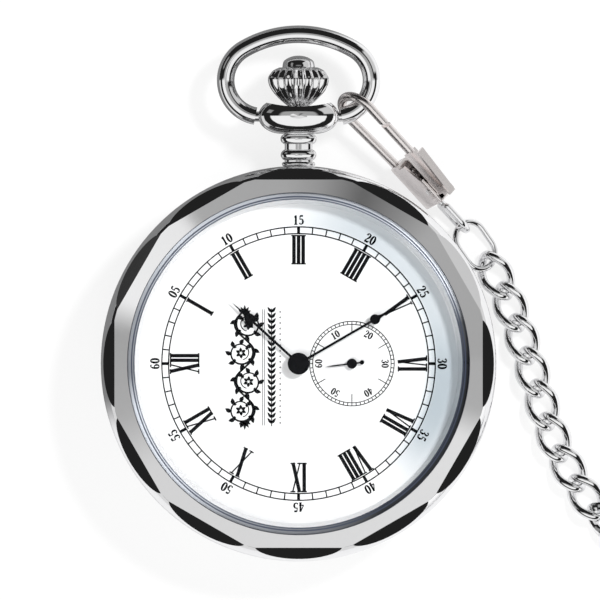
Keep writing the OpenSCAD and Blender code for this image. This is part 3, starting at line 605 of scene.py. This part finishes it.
def scroll(centre, start, flip, big):
    """A stem that winds in and tapers, with leaves along its outside and a flower in its eye."""
    steps = 30
    line, widths = [], []
    for k in range(steps + 1):
        part = k / steps
        r, a = big * (1 - 0.46 * part), start + flip * 2 * math.pi * 1.3 * part
        line.append((centre[0] + r * math.cos(a), centre[1] + r * math.sin(a)))
        widths.append(0.27 - 0.16 * part)
        if k % 3 == 1 and k < 24:
            leaf(line[-1], a + flip * 0.8, 0.95 - 0.25 * part, 0.52)
        if k % 6 == 4 and k < 24:
            leaf(line[-1], a + math.pi + flip * -0.8, 0.45, 0.28)
    panel.stroke(line, widths, on_panel, dial_top)
    for petal in range(6):
        a = start + petal * math.pi / 3
        leaf((centre[0] + 0.10 * math.cos(a), centre[1] + 0.10 * math.sin(a)), a, 0.58, 0.38)


vine_x, first_scroll, scroll_pitch, vine_end = -0.75, -5.1, 3.4, 6.9
for n in range(4):
    way = 1 if n % 2 else -1
    centre = (vine_x + way * 0.45, first_scroll + scroll_pitch * n)
    scroll(centre, math.pi / 2 * (1 + way) - way * 0.6, way, 1.5)
wave = [(vine_x + 1.2 * math.cos(math.pi * k / 12), first_scroll + scroll_pitch * k / 12)
        for k in range(-6, 43)]
panel.stroke(wave, 0.24, on_panel, dial_top)
for way in (-1, 1):
    for lean in (-1.1, -0.55, 0, 0.55, 1.1):
        leaf((vine_x, way * (vine_end - 0.5)), way * math.pi / 2 + lean, 1.05 - 0.2 * abs(lean), 0.34)

laurel_x, laurel_end, laurel_pitch, berry = 2.45, 7.0, 0.66, 0.07
panel.stroke([(laurel_x, -laurel_end), (laurel_x, laurel_end)], 0.12, on_panel, dial_top)
for n in range(-10, 11):
    for lean in (-0.62, 0.62):
        leaf((laurel_x, n * laurel_pitch - 0.1), math.pi / 2 + lean, 0.86, 0.34)
    panel.ring(on_panel((laurel_x + 1.02, n * laurel_pitch)), berry, berry, dial_top, 10)
for border_x in (1.35, 1.58):
    panel.stroke([(border_x, -vine_end), (border_x, vine_end)], 0.07, on_panel, dial_top)
panel.made("foliate_panel")


# ---- hands ----
# Steel hands pressed from sheet and lacquered black, with a riveted hub on the centre post; the
# small seconds hand has a counterpoise with a ball.

lacquer = Shader(bpy.data.materials.new("black_lacquer"))
grain = lacquer.noise(12.0, 3.0)
black_lacquer = lacquer.finish(lacquer.node("BsdfPrincipled", None, {
    "Base Color": lacquer.mix((0.001, 0.001, 0.001), (0.002, 0.002, 0.003), grain),
    "Roughness": 0.30 + grain * 0.08, "Specular IOR Level": 0.08,
    "Normal": lacquer.bump(grain, 0.08, 0.003)}))
for hand in ("hour_hand", "minute_hand", "seconds_hand"):
    dress(hand, black_lacquer)


# ---- pendant, stem and crown ----
# The pendant is turned from bar with two beads and a bowl scooped for the crown. The crown is
# milled with twenty-two flutes under a plain cap and screws on the stem.

dress("pendant", polished("pendant_steel", steep=0.43))
stem_z = 5.9


def smooth_piece(name, points, faces, material, body, slot, crease=35):
    """A mesh piece in millimetres with rounded shading between its creases."""
    mesh = bpy.data.meshes.new(name)
    mesh.from_pydata([tuple(c * MM for c in p) for p in points], [], faces)
    mesh.materials.append(material)
    mesh.shade_smooth()
    mesh.set_sharp_from_angle(angle=math.radians(crease))
    piece = bpy.data.objects.new(name, mesh)
    bpy.context.scene.collection.objects.link(piece)
    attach(piece, body)
    return piece


def between_rows(p, q, r, s, t):
    """A number on the smooth curve through four, at a share t of the way from q to r."""
    return 0.5 * (2 * q + (r - p) * t + (2 * p - 5 * q + 4 * r - s) * t * t
                  + (3 * q - p - 3 * r + s) * t ** 3)


def spline(rows, steps):
    """Rows of numbers with smooth rows between them."""
    made = []
    for i in range(len(rows) - 1):
        a, b = rows[i], rows[i + 1]
        before, after = rows[max(i - 1, 0)], rows[min(i + 2, len(rows) - 1)]
        for k in range(steps):
            made.append([between_rows(*four, k / steps) for four in zip(before, a, b, after)])
    return made + [list(rows[-1])]


crown_base, flutes, crown_sides = 30.66, 22, 22 * 12
flank = spline([(0, 1.3, 0.1), (0.3, 1.68, 0.16), (0.75, 2.2, 0.24), (1.5, 2.92, 0.32), (2.27, 3.43, 0.36),
                (2.8, 3.6, 0.36), (3.18, 3.64, 0.36), (3.5, 3.58, 0.36), (3.8, 3.38, 0.32), (4.24, 3.0, 0.24),
                (4.58, 2.3, 0.1)], 4)
cap = spline([(4.62, 1.93, 0), (5.3, 1.78, 0), (5.68, 1.3, 0), (5.9, 0.75, 0), (5.98, 0.3, 0),
              (5.99, 0.05, 0)], 5)
crown_rows = [[0.02, 0.62, 0], [0.0, 1.25, 0.0]] + flank + [[4.6, 1.95, 0]] + cap
crown_points, crown_faces = [], []
for height, radius, depth in crown_rows:
    for k in range(crown_sides):
        a = 2 * math.pi * k / crown_sides
        # A milled flute: a round valley between narrower ridges
        r = radius - depth * (0.5 - 0.5 * math.cos(a * flutes)) ** 0.7
        crown_points.append((r * math.cos(a), crown_base + height, stem_z + r * math.sin(a)))
for i in range(len(crown_rows) - 1):
    for k in range(crown_sides):
        n = (k + 1) % crown_sides
        a, b = i * crown_sides, (i + 1) * crown_sides
        crown_faces.append([a + k, b + k, b + n, a + n])
crown_faces.append([(len(crown_rows) - 1) * crown_sides + k for k in range(crown_sides)])
crown = smooth_piece("crown_fluted", crown_points, crown_faces, mirror_steel, "crown_group",
                     "polished_steel", crease=50)
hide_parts("crown")
dress("crown_gasket", plain("crown_rubber", (0.03, 0.03, 0.03), 0.6))
dress("winding_stem", polished("stem_steel", (0.7, 0.7, 0.71), 0.12))


# ---- bow ----
# One length of 2.1 mm steel wire bent to a flat oval and polished. A pin at each end sits in the
# pendant's bowl, so that the bow swings over the crown.


def tube(points, radius, sides, closed, up=None):
    """Points and faces of a round tube along points in millimetres."""
    points = [Vector(p) for p in points]
    count = len(points)
    verts, faces = [], []
    across = None
    for i, point in enumerate(points):
        before = points[i - 1] if closed or i else point
        after = points[(i + 1) % count] if closed or i < count - 1 else point
        ahead = (after - before).normalized()
        guide = up[i] if up else (across or ahead.orthogonal())
        across = (guide - ahead * guide.dot(ahead)).normalized()
        other = ahead.cross(across)
        for k in range(sides):
            a = 2 * math.pi * k / sides
            verts.append(point + radius * (math.cos(a) * across + math.sin(a) * other))
    for i in range(count if closed else count - 1):
        a, b = i * sides, (i + 1) % count * sides
        faces += [[a + k, a + (k + 1) % sides, b + (k + 1) % sides, b + k] for k in range(sides)]
    if not closed:
        faces.append([k for k in range(sides)][::-1])
        faces.append([(count - 1) * sides + k for k in range(sides)])
    return verts, faces


def joined(*shells):
    """Several closed shells as one list of points and faces."""
    points, faces = [], []
    for verts, polygons in shells:
        start = len(points)
        points += list(verts)
        faces += [[start + i for i in polygon] for polygon in polygons]
    return points, faces


bow_side_r, bow_side_x, bow_mid_y, bow_rise, bow_y, bow_end = 4.3, 4.38, 33.7, 5.5, 29.4, -80
bow_top_r = (bow_side_x ** 2 + bow_rise ** 2 - bow_side_r ** 2) / (2 * (bow_rise - bow_side_r))
bow_blend = math.degrees(math.atan2(bow_top_r - bow_rise, bow_side_x))


def arc(cx, cy, r, start, end, steps):
    """Points along an arc in the bow's plane, angles in degrees."""
    angles = [math.radians(start + (end - start) * k / steps) for k in range(steps + 1)]
    return [(cx + r * math.cos(a), cy + r * math.sin(a), stem_z) for a in angles]


bow_line = (arc(bow_side_x, bow_mid_y, bow_side_r, bow_end, bow_blend - 2, 40)
            + arc(0, bow_mid_y + bow_rise - bow_top_r, bow_top_r, bow_blend, 180 - bow_blend, 32)
            + arc(-bow_side_x, bow_mid_y, bow_side_r, 182 - bow_blend, 180 - bow_end, 40))
bow_wire_r, pin_r, pin_in, pin_out = 1.05, 0.6, 3.62, 5.6
pins = [tube([(side * pin_in, bow_y, stem_z), (side * pin_out, bow_y, stem_z)], pin_r, 24, False)
        for side in (-1, 1)]
bow = smooth_piece("bow_wire", *joined(tube(bow_line, bow_wire_r, 40, False), *pins), mirror_steel,
                   "bow_loop", "polished_steel")
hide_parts("bow")


# ---- movement ----
# A ready-made quartz movement in a plastic holder, out of sight behind the dial: nickelled plates,
# brass wheels, a button cell, a green circuit board and a copper coil.

nickel = plain("nickelled_plate", (0.62, 0.61, 0.58), 0.3, 1.0)
brass = plain("wheel_brass", (0.80, 0.60, 0.25), 0.25, 1.0)
inner_finishes = {
    nickel: ["main_plate", "train_bridge", "battery_strap"],
    brass: ["fifth_wheel", "seconds_wheel", "third_wheel", "centre_wheel", "minute_wheel", "hour_wheel"],
    plain("screw_steel", (0.55, 0.56, 0.58), 0.22, 1.0): [
        "bridge_screws", "sliding_pinion", "setting_lever", "stator"],
    plain("cell_can", (0.75, 0.75, 0.74), 0.2, 1.0): ["battery", "quartz_can"],
    plain("holder_plastic", (0.82, 0.82, 0.80), 0.45): ["movement_ring"],
    plain("board_green", (0.03, 0.18, 0.08), 0.4): ["circuit_board"],
    plain("coil_copper", (0.75, 0.32, 0.14), 0.3, 1.0): ["coil"],
    plain("rotor_magnet", (0.10, 0.10, 0.11), 0.35, 0.6): ["rotor"],
}
for finish, group in inner_finishes.items():
    for node in group:
        dress(node, finish)


# ---- clasp ----
# A sprung swivel hook: wire hook and folded channel in one, a gate with a thumb lever on a pin, a
# small coil spring and a bail that turns in the channel's end. Brushed, so it is warmer and greyer.

clasp_at, clasp_turns = (7.22, 29.9, 5.8), (57, 10.6, -47.5)
clasp_frame = (Matrix.Translation(Vector(clasp_at)) @ Matrix.Rotation(math.radians(clasp_turns[2]), 4, "Z")
               @ Matrix.Rotation(math.radians(clasp_turns[1]), 4, "Y")
               @ Matrix.Rotation(math.radians(clasp_turns[0]), 4, "X"))

brushed = Shader(bpy.data.materials.new("brushed_clasp"))
along_clasp = brushed.node("Mapping", None, {
    "Vector": brushed.place(), "Rotation": (0, 0, math.radians(-clasp_turns[2])), "Scale": (0.5, 9.0, 9.0)})
brush_marks = brushed.noise(2.0, 5.0, 0.6, along_clasp)
brushed_steel = brushed.finish(brushed.node("BsdfPrincipled", None, {
    "Base Color": brushed.mix((0.80, 0.74, 0.72), (0.95, 0.92, 0.91), brush_marks), "Metallic": 1.0,
    "Roughness": 0.16 + brush_marks * 0.14, "Normal": brushed.bump(brush_marks, 0.12, 0.01)}))

# The wire: a short tip, half a turn and the lower arm, with the face of the tip cut at a slope
hook_r, hook_bar, tip_x, arm_end = 2.45, 1.1, 2.5, (8.3, -1.85, 0)
half_turn = [math.radians(a) for a in range(90, 271, 6)]
hook_line = ([(tip_x - 0.05, hook_r, 0)]
             + [(hook_r * math.cos(a), hook_r * math.sin(a), 0) for a in half_turn]
             + [arm_end])
hook_verts, hook_faces = tube(hook_line, hook_bar / 2, 28, False, [Vector((0, 0, 1))] * len(hook_line))
tip_slope = math.tan(math.radians(25))
hook_verts = [Vector((v.x + (v.y - hook_r) * tip_slope, v.y, v.z)) if v.x > tip_x - 0.1 and v.y > 1 else v
              for v in hook_verts]


def box_shell(low, high, soften=0.0, turn=0.0, at=(0, 0, 0)):
    """A box as a bmesh, with rounded edges where they are asked for."""
    shape = bmesh.new()
    bmesh.ops.create_cube(shape, size=1)
    for v in shape.verts:
        v.co = Vector([low[i] if v.co[i] < 0 else high[i] for i in range(3)])
    if soften:
        bmesh.ops.bevel(shape, geom=shape.edges[:], offset=soften, segments=3, profile=0.5, affect="EDGES")
    shape.transform(Matrix.Translation(Vector(at)) @ Matrix.Rotation(math.radians(turn), 4, "Z"))
    return shape


def rod_shell(centre, radius, length, axis):
    """A round rod as a bmesh, along X or Z."""
    shape = bmesh.new()
    bmesh.ops.create_cone(shape, segments=40, radius1=radius, radius2=radius, depth=length, cap_ends=True)
    spin = Matrix.Rotation(math.radians(90), 4, "Y") if axis == "X" else Matrix.Identity(4)
    shape.transform(Matrix.Translation(Vector(centre)) @ spin)
    return shape


def as_object(shape, name="cutter"):
    """An object to cut, or to cut with."""
    mesh = bpy.data.meshes.new(name)
    shape.to_mesh(mesh)
    shape.free()
    made = bpy.data.objects.new(name, mesh)
    bpy.context.scene.collection.objects.link(made)
    return made


def cut(blank, cutters):
    """The blank's points and faces after each cutter has been taken away."""
    made = as_object(blank, "blank")
    tools = [as_object(shape) for shape in cutters]
    for tool in tools:
        step = made.modifiers.new("cut", "BOOLEAN")
        step.operation, step.solver, step.object = "DIFFERENCE", "EXACT", tool
    done = made.evaluated_get(bpy.context.evaluated_depsgraph_get()).to_mesh()
    points = [v.co.copy() for v in done.vertices]
    faces = [list(p.vertices) for p in done.polygons]
    for thing in [made] + tools:
        bpy.data.objects.remove(thing)
    return points, faces


# The channel: a box with rounded edges, hollowed, open at the front, with its cheeks cut away at a
# slope and holes for the gate's pin and the bail's neck
gate_pivot, pin_hole_r, neck_at, neck_hole_r = (12.6, 0.9, 0), 0.4, (15, -0.1, 0), 0.48
channel = cut(box_shell((7.9, -2.1, -0.95), (14.5, 1.5, 0.95), soften=0.22), [
    box_shell((8.2, -1.8, -0.65), (14.2, 3, 0.65)),
    box_shell((6.9, -0.5, -2), (8.4, 3.5, 2)),
    box_shell((0, 0, -2), (4.2, 4, 2), turn=14, at=(6.9, 0.1, 0)),
    rod_shell(gate_pivot, pin_hole_r, 6, "Z"),
    rod_shell(neck_at, neck_hole_r, 3, "X")])
hook_points, hook_faces = joined((hook_verts, hook_faces), channel)
hook_points = [clasp_frame @ Vector(p) for p in hook_points]
hook = smooth_piece("clasp_body", hook_points, hook_faces, brushed_steel, "clasp", "polished_steel", 30)
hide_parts("clasp_hook")

dress("clasp_gate", brushed_steel)
dress("gate_pin", polished("pin_steel", (0.8, 0.8, 0.8), 0.1))
dress("swivel_bail", mirror_steel)

coils, coil_steps, coil_pitch, coil_r, coil_wire_r = 4, 24, 0.75, 0.45, 0.12
spring_line = []
for k in range(coils * coil_steps + 1):
    a = 2 * math.pi * k / coil_steps
    spring_line.append(clasp_frame @ Vector((8.9 + coil_pitch * k / coil_steps, -0.68 + coil_r * math.cos(a),
                                             coil_r * math.sin(a))))
spring_wire = polished("spring_wire", (0.75, 0.75, 0.76), 0.1)
spring = smooth_piece("gate_coil", *tube(spring_line, coil_wire_r, 10, False), spring_wire, "clasp",
                      "spring_steel")
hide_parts("gate_spring")


# ---- chain ----
# Curb links of 1 mm steel wire, each twisted so that it lies flat in its neighbours, joined to the
# clasp by an oval ring and ending in a small ring and a cross bar. The run that the photograph does
# not show is folded on the table beside the watch.

dress("oval_ring", mirror_steel)
dress("bar_ring", mirror_steel)
dress("end_bar", mirror_steel)

link_l, link_w, link_wire, link_twist, pitch = 6.6, 4.3, 1.05, -55, 4.1
# How the chain lies: counts of links and the degrees by which each of them turns from the last
turns = ([(1, -7), (1, -3), (2, -1), (1, 6), (1, 8), (1, 4)]
         + [(3, 56 / 3), (6, 0), (7, -180 / 7), (6, 0), (7, 180 / 7), (7, 0)])
link_heading, link_at = -62.0, Vector((23.6, 10.45, 1.25))
places = [(link_at.copy(), link_heading)]
for count, angle in turns:
    for _ in range(count):
        before = link_heading
        link_heading += angle
        for way in (before, link_heading):
            link_at += pitch / 2 * Vector((math.cos(math.radians(way)), math.sin(math.radians(way)), 0))
        places.append((link_at.copy(), link_heading))


def curb_link(at, heading, rings=60, sides=16):
    """One twisted link, as the solid has it, with a rounder wire."""
    half_l, half_w = (link_l - link_wire) / 2, (link_w - link_wire) / 2
    line, guides = [], []
    for k in range(rings):
        t = 2 * math.pi * k / rings
        roll = math.radians(link_twist) * math.cos(t)
        off = half_w * math.sin(t)
        point = Vector((half_l * math.cos(t), off * math.cos(roll), off * math.sin(roll)))
        line.append(point)
        guides.append(Vector((point.x * 0.45, point.y, point.z)))
    verts, faces = tube(line, link_wire / 2, sides, True, guides)
    turn = Matrix.Translation(at) @ Matrix.Rotation(math.radians(heading), 4, "Z")
    return [turn @ v for v in verts], faces


singles, run_links = 8, 12
for i in range(singles):
    piece = smooth_piece(f"curb_link_{i + 1:02d}", *curb_link(*places[i]), mirror_steel, f"link_{i + 1}",
                         "polished_steel")
    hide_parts(f"link_{i + 1:02d}")
for run in range(3):
    first = singles + run * run_links
    shells = [curb_link(*place, rings=36, sides=10) for place in places[first:first + run_links]]
    piece = smooth_piece(f"curb_run_{run + 1}", *joined(*shells), mirror_steel, f"run_{run + 1}",
                         "polished_steel")
    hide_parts(f"chain_run_{run + 1}")
